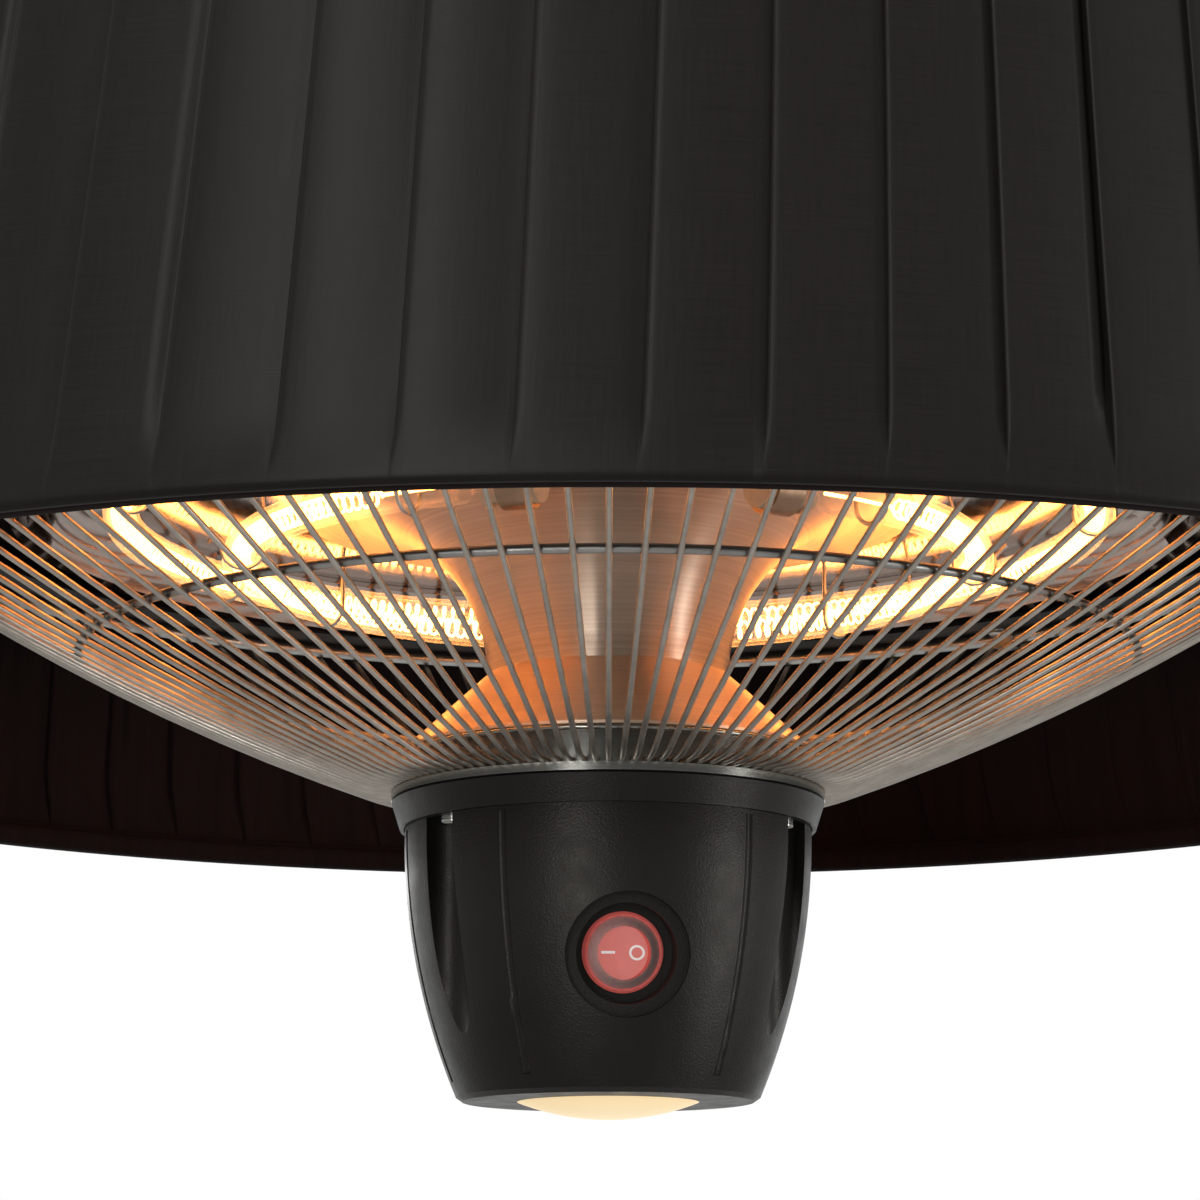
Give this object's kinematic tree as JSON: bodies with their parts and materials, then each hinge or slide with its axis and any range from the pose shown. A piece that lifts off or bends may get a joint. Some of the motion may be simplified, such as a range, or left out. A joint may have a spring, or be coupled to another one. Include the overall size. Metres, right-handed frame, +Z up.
{
  "type": "hanging patio heater",
  "caption": "Hanging patio heater with a charcoal pleated fabric shade, ring heating tubes behind a wire guard, and a black switch housing with a lamp below.",
  "frame": {"origin": "centre of the hanging eye's bore", "axes": "+Z up along the support tube, -Y towards the switch, +Y along the eye's bore"},
  "size_m": [0.6015, 0.6016, 0.4195],
  "materials": {
    "shade_cloth": "matte pleated cloth",
    "frame_black": "satin black paint",
    "casing_black": "matte black paint",
    "steel_zinc": "satin zinc plated",
    "steel_polished": "polished",
    "reflector_aluminium": "polished",
    "column_aluminium": "turned, fine rings",
    "quartz": "clear",
    "filament": "glowing",
    "ceramic": "matte",
    "lead_sleeve": "matte glass fibre sleeve",
    "housing_plastic": "fine textured, satin",
    "switch_red": "glossy translucent",
    "cap_clear": "clear, soft",
    "brass": "plain",
    "lens_warm": "opal, lit",
    "board_white": "matte",
    "gland_plastic": "matte"
  },
  "bodies": {
    "heater": {"hanging_eye": "steel_zinc", "support_tube": "steel_zinc", "support_nuts": "steel_zinc", "shade_spider_hub": "frame_black", "shade_spider_arms": "frame_black", "shade_top_ring": "frame_black", "shade_bottom_ring": "frame_black", "shade_uprights": "frame_black", "shade_fabric": "shade_cloth", "shade_top_binding": "shade_cloth", "shade_bottom_binding": "shade_cloth", "upper_casing": "casing_black", "cable_gland": "gland_plastic", "gland_lock_nut": "gland_plastic", "terminal_block": "ceramic", "reflector": "reflector_aluminium", "center_column": "column_aluminium", "column_skirt": "reflector_aluminium", "hub_band": "steel_polished", "heating_tube_inner": "quartz", "heating_tube_outer": "quartz", "filament_inner": "filament", "filament_outer": "filament", "tube_end_caps": "ceramic", "tube_holders": "steel_zinc", "tube_clips": "steel_zinc", "tube_feed_leads": "lead_sleeve", "guard_wires": "steel_zinc", "guard_hub_ring": "steel_polished", "guard_middle_ring": "steel_zinc", "guard_outer_ring": "steel_zinc", "guard_clips": "steel_zinc", "guard_clip_screws": "steel_zinc", "housing_collar": "housing_plastic", "switch_housing": "housing_plastic", "housing_screws": "steel_polished", "switch_body": "switch_red", "switch_terminals": "brass", "switch_cap": "cap_clear", "switch_lead": "lead_sleeve", "lamp_lens": "lens_warm", "lamp_retainer": "housing_plastic", "lamp_board": "board_white", "lamp_chips": "lens_warm", "lamp_screws": "steel_zinc", "lamp_leads": "lead_sleeve"},
    "rocker": {"switch_rocker": "switch_red"}
  },
  "joints": [
    {"name": "rocker_pivot", "type": "hinge", "parent": "heater", "child": "rocker", "pos_m": [0, -0.03278, -0.36136], "axis": [0, -0.1392, 0.9903], "range_deg": [0, 16]}
  ]
}
